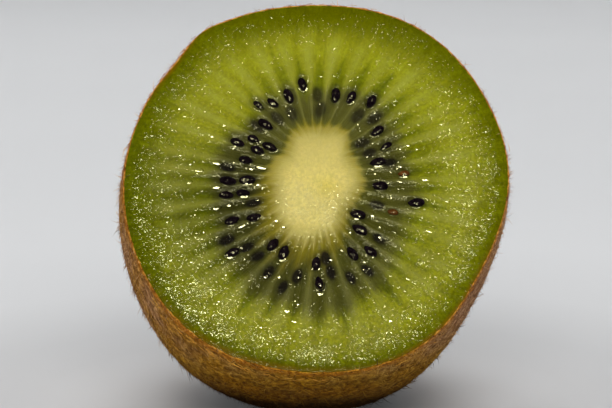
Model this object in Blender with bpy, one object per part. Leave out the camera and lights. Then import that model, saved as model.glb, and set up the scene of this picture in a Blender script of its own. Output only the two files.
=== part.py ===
"""Half of a kiwi fruit, cut across a little in front of its widest place and leaning back on its skin.

Lengths are in metres and +Z is up. The fruit is modelled along its own axis: the cut face lies in the local
XY plane and looks along local +Z, local +Y is the top of the face, and the rounded end is at local -Z.
The object is then leant back, so that the face looks along -Y and upwards, and is set down with the middle
of its resting spot at the origin.
"""

import math

import bmesh
import bpy
from mathutils import Matrix, Vector

MM = 0.001

# The whole fruit is an ellipsoid with blunt lobes. HALF_LENGTH runs from its widest section to its tip.
CUT_RADIUS = 26.47 * MM
HALF_LENGTH = 35.0 * MM
CUT_TO_WIDEST = 7.6 * MM

# The cut isn't round. Each lobe is (waves round the rim, height, angle of one crest in degrees).
LOBES = (
    (2, 0.90 * MM, 69),
    (3, 0.19 * MM, 27),
    (4, 0.19 * MM, 30),
    (5, 0.10 * MM, -2),
    (6, 0.21 * MM, -2),
)
# Single bulges near the rim: (angle in degrees, height, spread in degrees). A negative one is a flattened
# side. They die away within about BULGE_REACH of the cut.
BULGES = (
    (123, 0.50 * MM, 6),
    (137, -0.38 * MM, 8),
)
BULGE_REACH = 14.0 * MM

# The cut face: a firm pale core stands proud, and the seed chambers round it have sunk a little.
CORE_HALF_WIDTH = 5.6 * MM
CORE_HALF_HEIGHT = 8.2 * MM
CORE_DROP = 0.6 * MM
CORE_RISE = 0.35 * MM
CORE_CROWN = 0.10 * MM
SEED_RING_SINK = 0.30 * MM
RIM_ROUND = 0.35 * MM
# Shares of the way from the core's edge to the rim: where the sunk ring ends, and how far the core's rise
# reaches.
SUNK_SHARE = 0.55
RISE_SHARE = 0.12

# The blossom end: a low round button in a shallow dimple, at the tip. TIP_RADIUS is where the finer rings of
# the skin begin.
BUTTON_RADIUS = 2.6 * MM
BUTTON_HEIGHT = 1.3 * MM
BUTTON_POWER = 4
DIMPLE_RADIUS = 3.25 * MM
DIMPLE_DEPTH = 0.7 * MM
TIP_RADIUS = 6.5 * MM

# How the half lies: its balance point is over a small spot where the skin is pressed flat.
LEAN_BACK_DEG = 33.0
SPOT_DEPTH = 0.45 * MM

# Mesh steps.
SEGMENTS = 84
DOME_RINGS = 20
TIP_RINGS = 9
FLESH_RINGS = 6
CORE_RINGS = 4

SKIN_COLOUR = (0.24, 0.12, 0.045, 1.0)
FLESH_COLOUR = (0.22, 0.30, 0.02, 1.0)
CORE_COLOUR = (0.72, 0.66, 0.26, 1.0)
SKIN, FLESH, CORE = range(3)


def clear_scene():
    for obj in list(bpy.data.objects):
        bpy.data.objects.remove(obj, do_unlink=True)


def material(name, colour, roughness):
    made = bpy.data.materials.new(name)
    made.use_nodes = True
    shader = made.node_tree.nodes["Principled BSDF"]
    shader.inputs["Base Color"].default_value = colour
    shader.inputs["Roughness"].default_value = roughness
    shader.inputs["Metallic"].default_value = 0.0
    made.diffuse_color = colour
    return made


def rim_radius(angle, depth=0.0):
    """Distance from the fruit's axis to the outside of the skin in the direction of angle, as if at the cut.

    The lobes run the length of the fruit, and the bulges die away with depth behind the cut.
    """
    radius = CUT_RADIUS
    for waves, height, crest in LOBES:
        radius += height * math.cos(waves * (angle - math.radians(crest)))
    left = math.exp(-((depth / BULGE_REACH) ** 2))
    for centre, height, spread in BULGES:
        away = math.remainder(angle - math.radians(centre), math.tau) / math.radians(spread)
        radius += height * left * math.exp(-away * away)
    return radius


def core_point(angle):
    """Point on the core's outline in the cut, as (x, y)."""
    return CORE_HALF_WIDTH * math.cos(angle), CORE_HALF_HEIGHT * math.sin(angle) - CORE_DROP


def dome_profile():
    """(share of the rim's radius, depth behind the cut) for each ring of skin, from cut to tip."""
    widest = 1 / math.cos(math.asin(CUT_TO_WIDEST / HALF_LENGTH))
    start = -math.asin(CUT_TO_WIDEST / HALF_LENGTH)
    tip_start = math.acos(TIP_RADIUS / (CUT_RADIUS * widest))
    turns = [start + (tip_start - start) * i / DOME_RINGS for i in range(DOME_RINGS + 1)]
    turns += [tip_start + (math.pi / 2 - tip_start) * i / TIP_RINGS for i in range(1, TIP_RINGS)]
    rings = []
    for turn in turns:
        share = widest * math.cos(turn)
        depth = CUT_TO_WIDEST + HALF_LENGTH * math.sin(turn) + tip_relief(share * CUT_RADIUS)
        rings.append((share, depth))
    return rings


def tip_relief(radius):
    """How far the blossom end stands out beyond the plain ellipsoid, at this distance from the axis."""
    button = BUTTON_HEIGHT * math.exp(-((radius / BUTTON_RADIUS) ** BUTTON_POWER))
    dimple = DIMPLE_DEPTH * math.exp(-((radius / DIMPLE_RADIUS) ** 2))
    return button - dimple


def face_height(share):
    """Height of the flesh over the plane of the cut, share being 0 at the core's edge and 1 at the rim."""
    sunk = math.sin(math.pi * min(share / SUNK_SHARE, 1.0)) ** 2
    return -SEED_RING_SINK * sunk + CORE_RISE * math.exp(-((share / RISE_SHARE) ** 2))


def add_ring(bm, points):
    return [bm.verts.new(point) for point in points]


def join_rings(bm, outer, inner, slot):
    for i, vert in enumerate(outer):
        after = (i + 1) % len(outer)
        face = bm.faces.new((vert, outer[after], inner[after], inner[i]))
        face.material_index = slot
        face.smooth = True


def close_ring(bm, ring, centre, slot):
    middle = bm.verts.new(centre)
    for i, vert in enumerate(ring):
        face = bm.faces.new((vert, ring[(i + 1) % len(ring)], middle))
        face.material_index = slot
        face.smooth = True


def fruit_mesh():
    """The closed body in local coordinates, before its resting spot is pressed flat."""
    angles = [math.tau * i / SEGMENTS for i in range(SEGMENTS)]
    bm = bmesh.new()

    def skin_ring(share, depth):
        radii = [rim_radius(angle, depth) * share for angle in angles]
        return add_ring(bm, [(r * math.cos(a), r * math.sin(a), -depth) for a, r in zip(angles, radii)])

    def face_ring(share):
        height = face_height(share)
        points = []
        for angle in angles:
            core_x, core_y = core_point(angle)
            edge = rim_radius(angle) - RIM_ROUND
            x = core_x + (edge * math.cos(angle) - core_x) * share
            y = core_y + (edge * math.sin(angle) - core_y) * share
            points.append((x, y, height))
        return add_ring(bm, points)

    def core_ring(share):
        rise = CORE_CROWN * (1 - share * share) + face_height(0)
        return add_ring(
            bm,
            [(share * x, share * (y + CORE_DROP) - CORE_DROP, rise) for x, y in map(core_point, angles)],
        )

    # The flesh, from the rim in to the core's edge, and the core, in to its middle.
    rim_ring = skin_ring(1.0, RIM_ROUND)
    ring = rim_ring
    for i in range(FLESH_RINGS, -1, -1):
        inner = face_ring(i / FLESH_RINGS)
        join_rings(bm, ring, inner, FLESH)
        ring = inner
    for i in range(CORE_RINGS - 1, 0, -1):
        inner = core_ring(i / CORE_RINGS)
        join_rings(bm, ring, inner, CORE)
        ring = inner
    close_ring(bm, ring, (0, -CORE_DROP, CORE_CROWN + face_height(0)), CORE)

    # The skin, from the rim back to the tip.
    ring = rim_ring
    for share, depth in dome_profile()[1:]:
        behind = skin_ring(share, depth)
        join_rings(bm, behind, ring, SKIN)
        ring = behind
    tip_depth = CUT_TO_WIDEST + HALF_LENGTH + tip_relief(0)
    close_ring(bm, ring[::-1], (0, 0, -tip_depth), SKIN)
    return bm


def press_flat(bm, down):
    """Cuts the resting spot square to down and returns its middle, all in local coordinates."""
    lowest = max(vert.co.dot(down) for vert in bm.verts)
    plane = down * (lowest - SPOT_DEPTH)
    cut = bmesh.ops.bisect_plane(
        bm,
        geom=bm.verts[:] + bm.edges[:] + bm.faces[:],
        plane_co=plane,
        plane_no=down,
        clear_outer=True,
    )
    edges = [item for item in cut["geom_cut"] if isinstance(item, bmesh.types.BMEdge)]
    spot = bmesh.ops.holes_fill(bm, edges=edges, sides=0)["faces"][0]
    spot.material_index = SKIN
    spot.smooth = False
    return spot.calc_center_median_weighted()


def build_half():
    """The fruit half, leant back and set down on its spot."""
    leant = Matrix.Rotation(math.radians(90 - LEAN_BACK_DEG), 4, "X")
    bm = fruit_mesh()
    spot = press_flat(bm, leant.inverted().to_3x3() @ Vector((0, 0, -1)))
    bmesh.ops.recalc_face_normals(bm, faces=bm.faces[:])
    mesh = bpy.data.meshes.new("kiwi_half")
    bm.to_mesh(mesh)
    bm.free()
    mesh.materials.append(material("kiwi_skin", SKIN_COLOUR, 0.85))
    mesh.materials.append(material("kiwi_flesh", FLESH_COLOUR, 0.3))
    mesh.materials.append(material("kiwi_core", CORE_COLOUR, 0.4))
    half = bpy.data.objects.new("kiwi_half", mesh)
    bpy.context.scene.collection.objects.link(half)
    half.rotation_euler = leant.to_euler()
    half.location = -(leant @ spot)
    return half


def main():
    clear_scene()
    build_half()


main()
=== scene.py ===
"""Dresses the kiwi fruit half: its wet cut flesh, seeds, beads of juice, felted skin and loose hairs.

Lengths are in metres. The cut face has a frame of its own: x to the right, y up the face and z out of it,
with the origin in the middle of the cut. Angles on the face are counterclockwise from x.
"""

import math

import bmesh
import bpy
import numpy as np
from mathutils import Matrix, Vector, noise


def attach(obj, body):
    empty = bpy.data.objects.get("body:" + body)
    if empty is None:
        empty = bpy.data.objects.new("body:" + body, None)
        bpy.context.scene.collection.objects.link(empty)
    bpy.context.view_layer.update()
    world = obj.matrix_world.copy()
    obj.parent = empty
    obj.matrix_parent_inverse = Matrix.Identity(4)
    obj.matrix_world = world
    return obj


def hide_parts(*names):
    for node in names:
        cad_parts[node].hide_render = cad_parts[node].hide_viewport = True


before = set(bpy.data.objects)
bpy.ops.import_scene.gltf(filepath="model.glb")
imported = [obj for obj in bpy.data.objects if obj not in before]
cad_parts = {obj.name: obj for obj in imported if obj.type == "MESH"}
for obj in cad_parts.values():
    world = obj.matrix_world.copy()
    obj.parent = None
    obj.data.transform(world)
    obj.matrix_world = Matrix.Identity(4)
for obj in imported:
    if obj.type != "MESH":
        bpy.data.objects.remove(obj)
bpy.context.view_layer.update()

MM = 0.001

# ---------------------------------------------------------------- the face's frame, found on the CAD solid
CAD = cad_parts["kiwi_half"]
LEAN_BACK = math.radians(33.0)
RIGHT_AXIS = Vector((1.0, 0.0, 0.0))
UP_AXIS = Vector((0.0, math.sin(LEAN_BACK), math.cos(LEAN_BACK)))
OUT_AXIS = Vector((0.0, -math.cos(LEAN_BACK), math.sin(LEAN_BACK)))
AXES = np.array((RIGHT_AXIS, UP_AXIS, OUT_AXIS))
RIGHT, UP, OUT = AXES
CORE_TOP = 0.45 * MM
CORE_DROP = 0.6 * MM
RIM_ROUND = 0.35 * MM
INSIDE_RIM = 20 * MM
RIM_TOLERANCE = 0.02 * MM


def mesh_points(mesh):
    flat = np.zeros(len(mesh.vertices) * 3)
    mesh.vertices.foreach_get("co", flat)
    return flat.reshape(-1, 3)


def set_points(mesh, points):
    mesh.vertices.foreach_set("co", np.asarray(points, float).ravel())
    mesh.update()


cad_points = mesh_points(CAD.data)
core_peak = cad_points[(cad_points @ OUT).argmax()]
ORIGIN = core_peak - OUT * CORE_TOP + UP * CORE_DROP
FACE_MATRIX = Matrix.Translation(Vector(ORIGIN)) @ Matrix(AXES).transposed().to_4x4()


def to_face(points):
    return (np.asarray(points) - ORIGIN) @ AXES.T


def from_face(points):
    return np.asarray(points) @ AXES + ORIGIN


def find_rim():
    """Angles and radii of the skin's outline in the cut, from the solid's own ring of points there."""
    local = to_face(cad_points)
    ring = local[np.abs(local[:, 2] + RIM_ROUND) < RIM_TOLERANCE]
    ring = ring[np.hypot(ring[:, 0], ring[:, 1]) > INSIDE_RIM]
    angles = np.arctan2(ring[:, 1], ring[:, 0])
    order = np.argsort(angles)
    return angles[order], np.hypot(ring[:, 0], ring[:, 1])[order]


RIM_ANGLES, RIM_RADII = find_rim()


def rim_radius(angle):
    return np.interp(angle, RIM_ANGLES, RIM_RADII, period=math.tau)


# ---------------------------------------------------------------- what the cut shows
# The pale core's outline: (angle in degrees, radius).
CORE_OUTLINE = (
    (0, 5.9), (20, 5.7), (36, 5.65), (46, 6.2), (56, 7.6), (62, 8.05), (70, 7.95), (82, 7.5), (98, 7.6),
    (110, 7.4), (120, 6.3), (134, 5.35), (150, 5.8), (170, 5.8), (190, 5.7), (207, 6.3), (220, 7.2),
    (232, 7.9), (248, 8.5), (260, 8.4), (275, 7.85), (286, 7.6), (296, 6.6), (308, 5.5), (325, 5.4),
    (342, 5.6),
)
# Where the thin walls between the seed chambers cross the middle of the ring, in degrees.
WALLS = (
    0.4, 11.5, 23.6, 32, 41.5, 51, 62, 72, 81.5, 91, 99.6, 108.6, 118.5, 126.4, 134.6, 144, 153.5, 165,
    173, 181, 191, 199.5, 208, 217, 225.7, 236.8, 246.5, 254.8, 264, 273.5, 282, 292.5, 303.6, 310.7,
    320.7, 332, 341.5, 351,
)
# Seeds as (angle in degrees, radius in millimetres), the point of each towards the core.
WHOLE_SEEDS = (
    (19, 8.9), (41, 11.4), (56, 14.3), (67, 13.6), (76, 13.3), (95, 14.7), (104, 13.3), (127, 10.8),
    (138.5, 8.1), (148, 9.1), (150, 12.0), (160, 9.9), (177, 9.2), (178, 11.8), (188, 9.9), (188, 12.2),
    (205, 12.6), (210, 9.8), (221, 15.2), (235.6, 10.7), (245, 11.1), (267.6, 11.6), (293, 11.2),
    (304, 12.1), (308.6, 8.8), (318.4, 7.1), (346.8, 13.65), (356, 8.6),
)
HALF_SUNK_SEEDS = ((28, 11.0), (115, 13.2), (123, 13.8), (141.5, 10.6), (269.4, 14.5))
SUNK_SEEDS = (
    (15.5, 10.3), (30, 8.5), (41, 8.6), (48.5, 12.5), (58, 11.5), (84.5, 10.8), (87, 13),
    (106, 10.7), (117, 10.7), (132, 11.3), (169, 12), (199, 9), (214, 14.7), (224, 13.3), (232, 13.3),
    (242, 14.5), (251.5, 15.8), (257, 13.8), (274, 11), (276, 13), (286, 14.3), (296, 14.2), (314, 11.5),
    (337, 8.7),
)
UNRIPE_SEEDS = ((5.6, 11.9), (336.4, 11.0))
# How things change round the fruit, each as bumps of (middle, spread, height), with the angles in degrees.
FRINGE_REACH = ((257, 40, 4.6), (200, 35, 2.4), (90, 35, 1.0))
PULP_REACH = ((250, 45, 2.3), (185, 28, 1.4), (138, 22, -0.9), (50, 22, 0.6))
WEDGE_REACH = ((138, 22, -3.4), (12, 20, -1.2), (250, 45, 2.0))
WEDGE_DARK = ((138, 26, -0.5), (255, 50, 0.25))
THIN_GOLD = ((305, 32, 0.9), (137, 13, 1.0))
DIM_AROUND = ((230, 62, 0.82), (0, 32, 0.25))
# Darker flesh from the core outwards: (radius in millimetres, share), and single patches of it: (middle and
# spread in degrees, share, and the radii where the patch starts, is full, begins to fade and is gone).
DIM_OUTWARDS = ((8, 0.10), (11, 0.28), (15, 0.34), (17.5, 0.28), (21, 0.14), (25, 0.16))
DIM_PATCHES = (
    (292, 45, 0.10, (15.0, 18.0, 22.0, 24.0)),
    (180, 30, 0.06, (15.0, 18.0, 22.0, 24.0)),
    (182, 28, 0.25, (6.3, 7.8, 12.0, 13.5)),
    (312, 24, 0.20, (6.3, 7.8, 12.0, 13.5)),
    (10, 25, 0.15, (6.3, 7.8, 12.0, 13.5)),
    (185, 30, 0.10, (12.5, 14.0, 15.5, 17.0)),
    (42, 25, 0.10, (12.5, 14.0, 15.5, 17.0)),
    (315, 25, 0.10, (15.8, 16.8, 18.5, 20.5)),
    (185, 30, 0.08, (15.8, 16.8, 18.5, 20.5)),
    (270, 35, 0.12, (22.8, 24.0, 30.0, 31.0)),
)

RING_MIDDLE = 15.0 * MM
RAY_SPREAD = 4.0 * MM
RAY_ROUNDS = 12


def ray_angle(x, y):
    """The angle at which the ray through a point crosses the middle of the ring.

    The core is taller than it is wide, so the rays spread from an upright line in it and not from a point.
    """
    angle = np.arctan2(y, x)
    for _ in range(RAY_ROUNDS):
        start_y = RAY_SPREAD * np.sin(angle)
        along_x, along_y = x, y - start_y
        length = np.maximum(np.hypot(along_x, along_y), 1e-9)
        along_x, along_y = along_x / length, along_y / length
        half_b = start_y * along_y
        reach = -half_b + np.sqrt(np.maximum(half_b**2 - start_y**2 + RING_MIDDLE**2, 0.0))
        angle = np.arctan2(start_y + along_y * reach, along_x * reach)
    return angle


def smooth(low, high, value):
    """0 at low, 1 at high, with soft ends. Low may be the greater of the two."""
    share = np.clip((value - low) / (high - low), 0.0, 1.0)
    return share * share * (3 - 2 * share)


def ring_of(radius, start, full, fading, gone):
    """1 between the radii full and fading, 0 before start and after gone, these four in millimetres."""
    return smooth(start * MM, full * MM, radius) * smooth(gone * MM, fading * MM, radius)


def bump_at(value, middle, spread):
    """1 at middle, falling away on both sides, for angles in degrees."""
    away = (value - middle + 180.0) % 360.0 - 180.0
    return np.exp(-((away / spread) ** 2))


def swell(angle, bumps):
    """The sum of the bumps at these angles."""
    return sum(height * bump_at(angle, middle, spread) for middle, spread, height in bumps)


def noise_over(points, scale, seed, detail=1):
    """Smooth noise from -1 to 1 at each row of points, one wave being about 1 / scale long."""
    shift = Vector((seed * 7.13, seed * 3.71, seed * 5.37))
    found = np.empty(len(points))
    for i, point in enumerate(points):
        place = Vector(point) * scale + shift
        found[i] = noise.noise(place) if detail == 1 else noise.fractal(place, 0.7, 2.0, detail)
    return found


def waves(points, length, seed, detail=1):
    """Smooth noise over points of the model, with waves about this many millimetres long."""
    return noise_over(points, 1 / (length * MM), seed, detail)


def core_radius(angle):
    return np.interp(angle, *zip(*CORE_OUTLINE), period=360.0) * MM


class Cut:
    """Masks and heights of the cut surface at the points (x, y), for its shape and its materials."""

    def __init__(self, x, y):
        self.flat = np.stack([x, y, np.zeros_like(x)], 1)
        self.radius = np.hypot(x, y)
        self.angle = np.degrees(np.arctan2(y, x)) % 360.0
        rim = rim_radius(np.radians(self.angle))
        self.from_rim = rim - self.radius
        self.out = np.clip(self.radius / rim, 0.0, 1.0)
        ray = ray_angle(x, y)
        self.way = np.stack([38 * np.cos(ray), 38 * np.sin(ray), self.radius / (4 * MM)], 1)
        self.streak = noise_over(self.way, 1.0, 1, 2)
        self.fine_streak = noise_over(self.way * np.array((2.6, 2.6, 1.5)), 1.0, 2)
        self.cloud = waves(self.flat, 2.5, 3, 3)
        self.find_chambers(np.degrees(ray) % 360.0)
        self.shape_core()
        self.shape_chambers()
        self.tint_flesh()

    def find_chambers(self, ray):
        """Which chamber each point is in, how far it is from the walls, and how the chambers differ."""
        rng = np.random.default_rng(11)
        walls = np.array(WALLS)
        after = np.searchsorted(walls, ray) % len(walls)
        before = (after - 1) % len(walls)
        left = (ray - walls[before]) % 360.0
        right = (walls[after] - ray) % 360.0
        self.across = np.abs(left - right) / (left + right)
        self.wall_gap = np.minimum(left, right) * (np.radians(1.0) * self.radius / MM)
        self.strength = rng.uniform(0.55, 1.0, len(walls))[np.where(left < right, before, after)]
        self.reach = rng.uniform(-1.4, 1.2, len(walls))[after]
        self.dark = rng.uniform(-0.18, 0.18, len(walls))[after]

    def shape_core(self):
        """The core's frayed edge, which runs out along the walls, and the golden fringe round it."""
        edge = core_radius(self.angle)
        below = bump_at(self.angle, 257, 40)
        frayed = edge + (0.30 * self.streak + 0.25 * self.fine_streak + 0.35 * self.cloud) * MM
        frayed = frayed + np.exp(-((self.wall_gap / 0.3) ** 2)) * (0.4 + 0.9 * below) * self.strength * MM
        self.core_edge = self.radius - edge
        self.core_gap = (self.radius - frayed) / MM
        self.core = 1 - smooth(-1.5, 1.1, self.core_gap)
        reach = (0.6 + swell(self.angle, FRINGE_REACH)) * MM
        reach = reach * (0.85 + 0.75 * np.exp(-((self.wall_gap / 0.45) ** 2)))
        self.fringe = 1 - smooth(0.0, 1.0, (self.core_edge + 0.6 * self.streak * MM) / reach)

    def shape_chambers(self):
        """The seed chambers: dark and sunk near the core, then green wedges that end in a point."""
        lift = np.sin(np.radians(self.angle))
        end = 13.3 + (2.2 - 1.7 * lift) * lift * lift + swell(self.angle, PULP_REACH)
        end = end + 0.8 * self.streak + 0.5 * self.cloud + 0.5 * self.reach
        self.pulp = (1 - smooth(-1.6 * MM, 1.6 * MM, self.radius - end * MM)) * (1 - self.core)
        self.chamber = (1 - self.across) * self.pulp
        reach = 19.3 + 1.2 * np.cos(np.radians(2 * (self.angle - 90))) + swell(self.angle, WEDGE_REACH)
        taper = np.clip(((reach + self.reach) * MM - self.radius) / (7.5 * MM), 0.0, 1.0) ** 0.65
        wedge = smooth(0.0, 0.55, taper * 1.05 - self.across) * smooth(0.0, 0.25, taper)
        dark = 0.78 + self.dark + swell(self.angle, WEDGE_DARK)
        self.wedge = np.clip(wedge * dark * (1 + 0.35 * self.streak), 0, 1) * (1 - self.core)
        # The pale walls between the chambers widen outwards and then fade into the flesh.
        width = 0.16 + 0.62 * smooth(9 * MM, 19 * MM, self.radius)
        self.wall_power = self.strength * (1 - smooth(18.5 * MM, 24 * MM, self.radius)) * (1 - self.core)
        self.wall = np.exp(-((self.wall_gap / width) ** 2)) * self.wall_power

    def tint_flesh(self):
        """Pale flesh along the lower rim and on the upper left, gold beside the skin, and darker patches."""
        pale = 0.65 * bump_at(self.angle, 256, 50) * smooth(19.5 * MM, 22.0 * MM, self.radius)
        pale = pale * smooth(0.8 * MM, 3.2 * MM, self.from_rim)
        sunny = bump_at(self.angle, 140, 25) * ring_of(self.radius, 12, 15, 18, 22)
        self.pale = np.maximum(pale, sunny)
        gold = bump_at(self.angle, 247, 26) * smooth(1.25 * MM, 0.35 * MM, self.from_rim)
        gold = gold + swell(self.angle, THIN_GOLD) * smooth(0.75 * MM, 0.35 * MM, self.from_rim)
        self.gold = np.clip(gold * (1 + 0.5 * self.cloud), 0.0, 1.0)
        self.dim = (0.18 + swell(self.angle, DIM_AROUND)) * np.interp(self.radius / MM, *zip(*DIM_OUTWARDS))
        for middle, spread, share, ring in DIM_PATCHES:
            self.dim = self.dim + share * bump_at(self.angle, middle, spread) * ring_of(self.radius, *ring)


WHOLE, HALF_SUNK, SUNK, UNRIPE = range(4)
UNRIPE_SIZE = 0.70
SEED_LENGTH = 2.15 * MM
SEED_WIDTH = 1.28 * MM
SEED_THICKNESS = 0.95 * MM


def seed_places():
    """(x, y, turn, size, kind) for every seed. Each lies along the ray through it, give or take."""
    rng = np.random.default_rng(5)
    places = []
    for kind, seeds in enumerate((WHOLE_SEEDS, HALF_SUNK_SEEDS, SUNK_SEEDS, UNRIPE_SEEDS)):
        for angle, radius in seeds:
            x = radius * MM * math.cos(math.radians(angle))
            y = radius * MM * math.sin(math.radians(angle))
            start = RAY_SPREAD * math.sin(float(ray_angle(np.array([x]), np.array([y]))[0]))
            turn = math.atan2(y - start, x) + math.radians(rng.normal(0, 7))
            size = rng.uniform(0.92, 1.08) * (UNRIPE_SIZE if kind == UNRIPE else 1.0)
            places.append((x, y, turn, size, kind))
    return places


SEEDS = seed_places()


def seed_distance(x, y, place, swollen=0.0):
    """0 at a seed's middle, 1 at its outline, in the plane of the face."""
    seed_x, seed_y, turn, size, _ = place
    dx, dy = x - seed_x, y - seed_y
    along = dx * math.cos(turn) + dy * math.sin(turn)
    aside = -dx * math.sin(turn) + dy * math.cos(turn)
    half_length = SEED_LENGTH * size / 2 + swollen
    half_width = SEED_WIDTH * size / 2 + swollen
    return np.hypot(along / half_length, aside / half_width)


# ---------------------------------------------------------------- tools for modelling
def deselect():
    if bpy.context.object and bpy.context.object.mode != "OBJECT":
        bpy.ops.object.mode_set(mode="OBJECT")
    bpy.ops.object.select_all(action="DESELECT")


def pick(*pieces):
    deselect()
    for piece in pieces:
        piece.select_set(True)
    bpy.context.view_layer.objects.active = pieces[0]


def named(name):
    """Names the piece that an operator has just made."""
    piece = bpy.context.object
    piece.name = name
    piece.data.name = name
    return piece


def remove(*pieces):
    for piece in pieces:
        bpy.data.objects.remove(piece)


def edit_select(piece, faces=None, edges=None):
    """Opens the piece in edit mode with the faces or edges selected that pass the test."""
    pick(piece)
    bpy.ops.object.mode_set(mode="EDIT")
    bpy.ops.mesh.select_mode(type="FACE" if faces else "EDGE")
    bpy.ops.mesh.select_all(action="DESELECT")
    bm = bmesh.from_edit_mesh(piece.data)
    bm.normal_update()
    for item in bm.faces if faces else bm.edges:
        if (faces or edges)(item):
            item.select = True
    bm.select_flush_mode()
    bmesh.update_edit_mesh(piece.data)


def edit_all(piece):
    edit_select(piece, faces=lambda item: True)


def at_border(edge):
    return edge.is_boundary


def object_mode():
    bpy.ops.object.mode_set(mode="OBJECT")


def extrude_border(piece, way):
    """Draws the piece's open border out along way, and puts the new faces in order round the z axis."""
    faces_before = len(piece.data.polygons)
    edit_select(piece, edges=at_border)
    bpy.ops.mesh.extrude_region_move(TRANSFORM_OT_translate={"value": tuple(way)})
    object_mode()

    def rank(item):
        x, y, _ = item.calc_center_median()
        return item.index if item.index < faces_before else faces_before + math.atan2(y, x) + math.pi

    bm = bmesh.new()
    bm.from_mesh(piece.data)
    bm.faces.sort(key=rank)
    bm.to_mesh(piece.data)
    bm.free()


def cut_across(piece, height):
    """Cuts a ring of edges through the piece at this height."""
    pick(piece)
    bpy.ops.object.mode_set(mode="EDIT")
    bpy.ops.mesh.select_all(action="SELECT")
    bpy.ops.mesh.bisect(plane_co=(0, 0, height), plane_no=(0, 0, 1))
    object_mode()


def face_outwards(piece, inside=False):
    edit_all(piece)
    bpy.ops.mesh.normals_make_consistent(inside=inside)
    object_mode()


def apply_modifier(piece, kind, **settings):
    pick(piece)
    made = piece.modifiers.new(kind.lower(), kind)
    for key, value in settings.items():
        setattr(made, key, value)
    bpy.ops.object.modifier_apply(modifier=made.name)


def shade_smooth(piece):
    pick(piece)
    bpy.ops.object.shade_smooth()


def store(mesh, name, values, kind="FLOAT"):
    made = mesh.attributes.new(name, kind, "POINT")
    field = "vector" if kind == "FLOAT_VECTOR" else "value"
    made.data.foreach_set(field, np.asarray(values, np.float32).ravel())


def add_piece(name, mesh):
    piece = bpy.data.objects.new(name, mesh)
    bpy.context.scene.collection.objects.link(piece)
    return piece


def unit(rows):
    return rows / np.maximum(np.linalg.norm(rows, axis=1), 1e-9)[:, None]


def flattened(rows, normals):
    """The rows without their share along the normals."""
    return rows - normals * (rows * normals).sum(1)[:, None]


def in_plane(angle):
    """Directions in the plane of the cut at these angles."""
    return np.cos(angle)[:, None] * RIGHT + np.sin(angle)[:, None] * UP


def place_matrices(x_axes, y_axes, z_axes, points):
    """A matrix for each point, that takes a pattern there with its own axes along these."""
    places = np.zeros((len(points), 4, 4))
    for column, rows in enumerate((x_axes, y_axes, z_axes, points)):
        places[:, :3, column] = rows
    places[:, 3, 3] = 1
    return places


def many(name, pattern, places, tones):
    """One mesh with a copy of the pattern's mesh at each place, and each copy's tone in an attribute."""
    source = pattern.data
    points = mesh_points(source)
    counts = np.array([len(face.vertices) for face in source.polygons])
    corners = np.concatenate([list(face.vertices) for face in source.polygons])
    places = np.asarray(places)
    copies = len(places)
    all_points = np.einsum("nij,pj->npi", places[:, :3, :3], points) + places[:, None, :3, 3]
    all_corners = (corners[None, :] + np.arange(copies)[:, None] * len(points)).ravel()
    all_counts = np.tile(counts, copies)
    mesh = bpy.data.meshes.new(name)
    mesh.vertices.add(copies * len(points))
    mesh.loops.add(len(all_corners))
    mesh.polygons.add(len(all_counts))
    mesh.vertices.foreach_set("co", all_points.ravel())
    mesh.loops.foreach_set("vertex_index", all_corners.astype(np.int32))
    starts = np.concatenate([[0], np.cumsum(all_counts)[:-1]])
    mesh.polygons.foreach_set("loop_start", starts.astype(np.int32))
    mesh.polygons.foreach_set("use_smooth", np.ones(len(all_counts), bool))
    mesh.update(calc_edges=True)
    mesh.validate()
    store(mesh, "tone", np.repeat(tones, len(points)))
    return add_piece(name, mesh)


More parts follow.
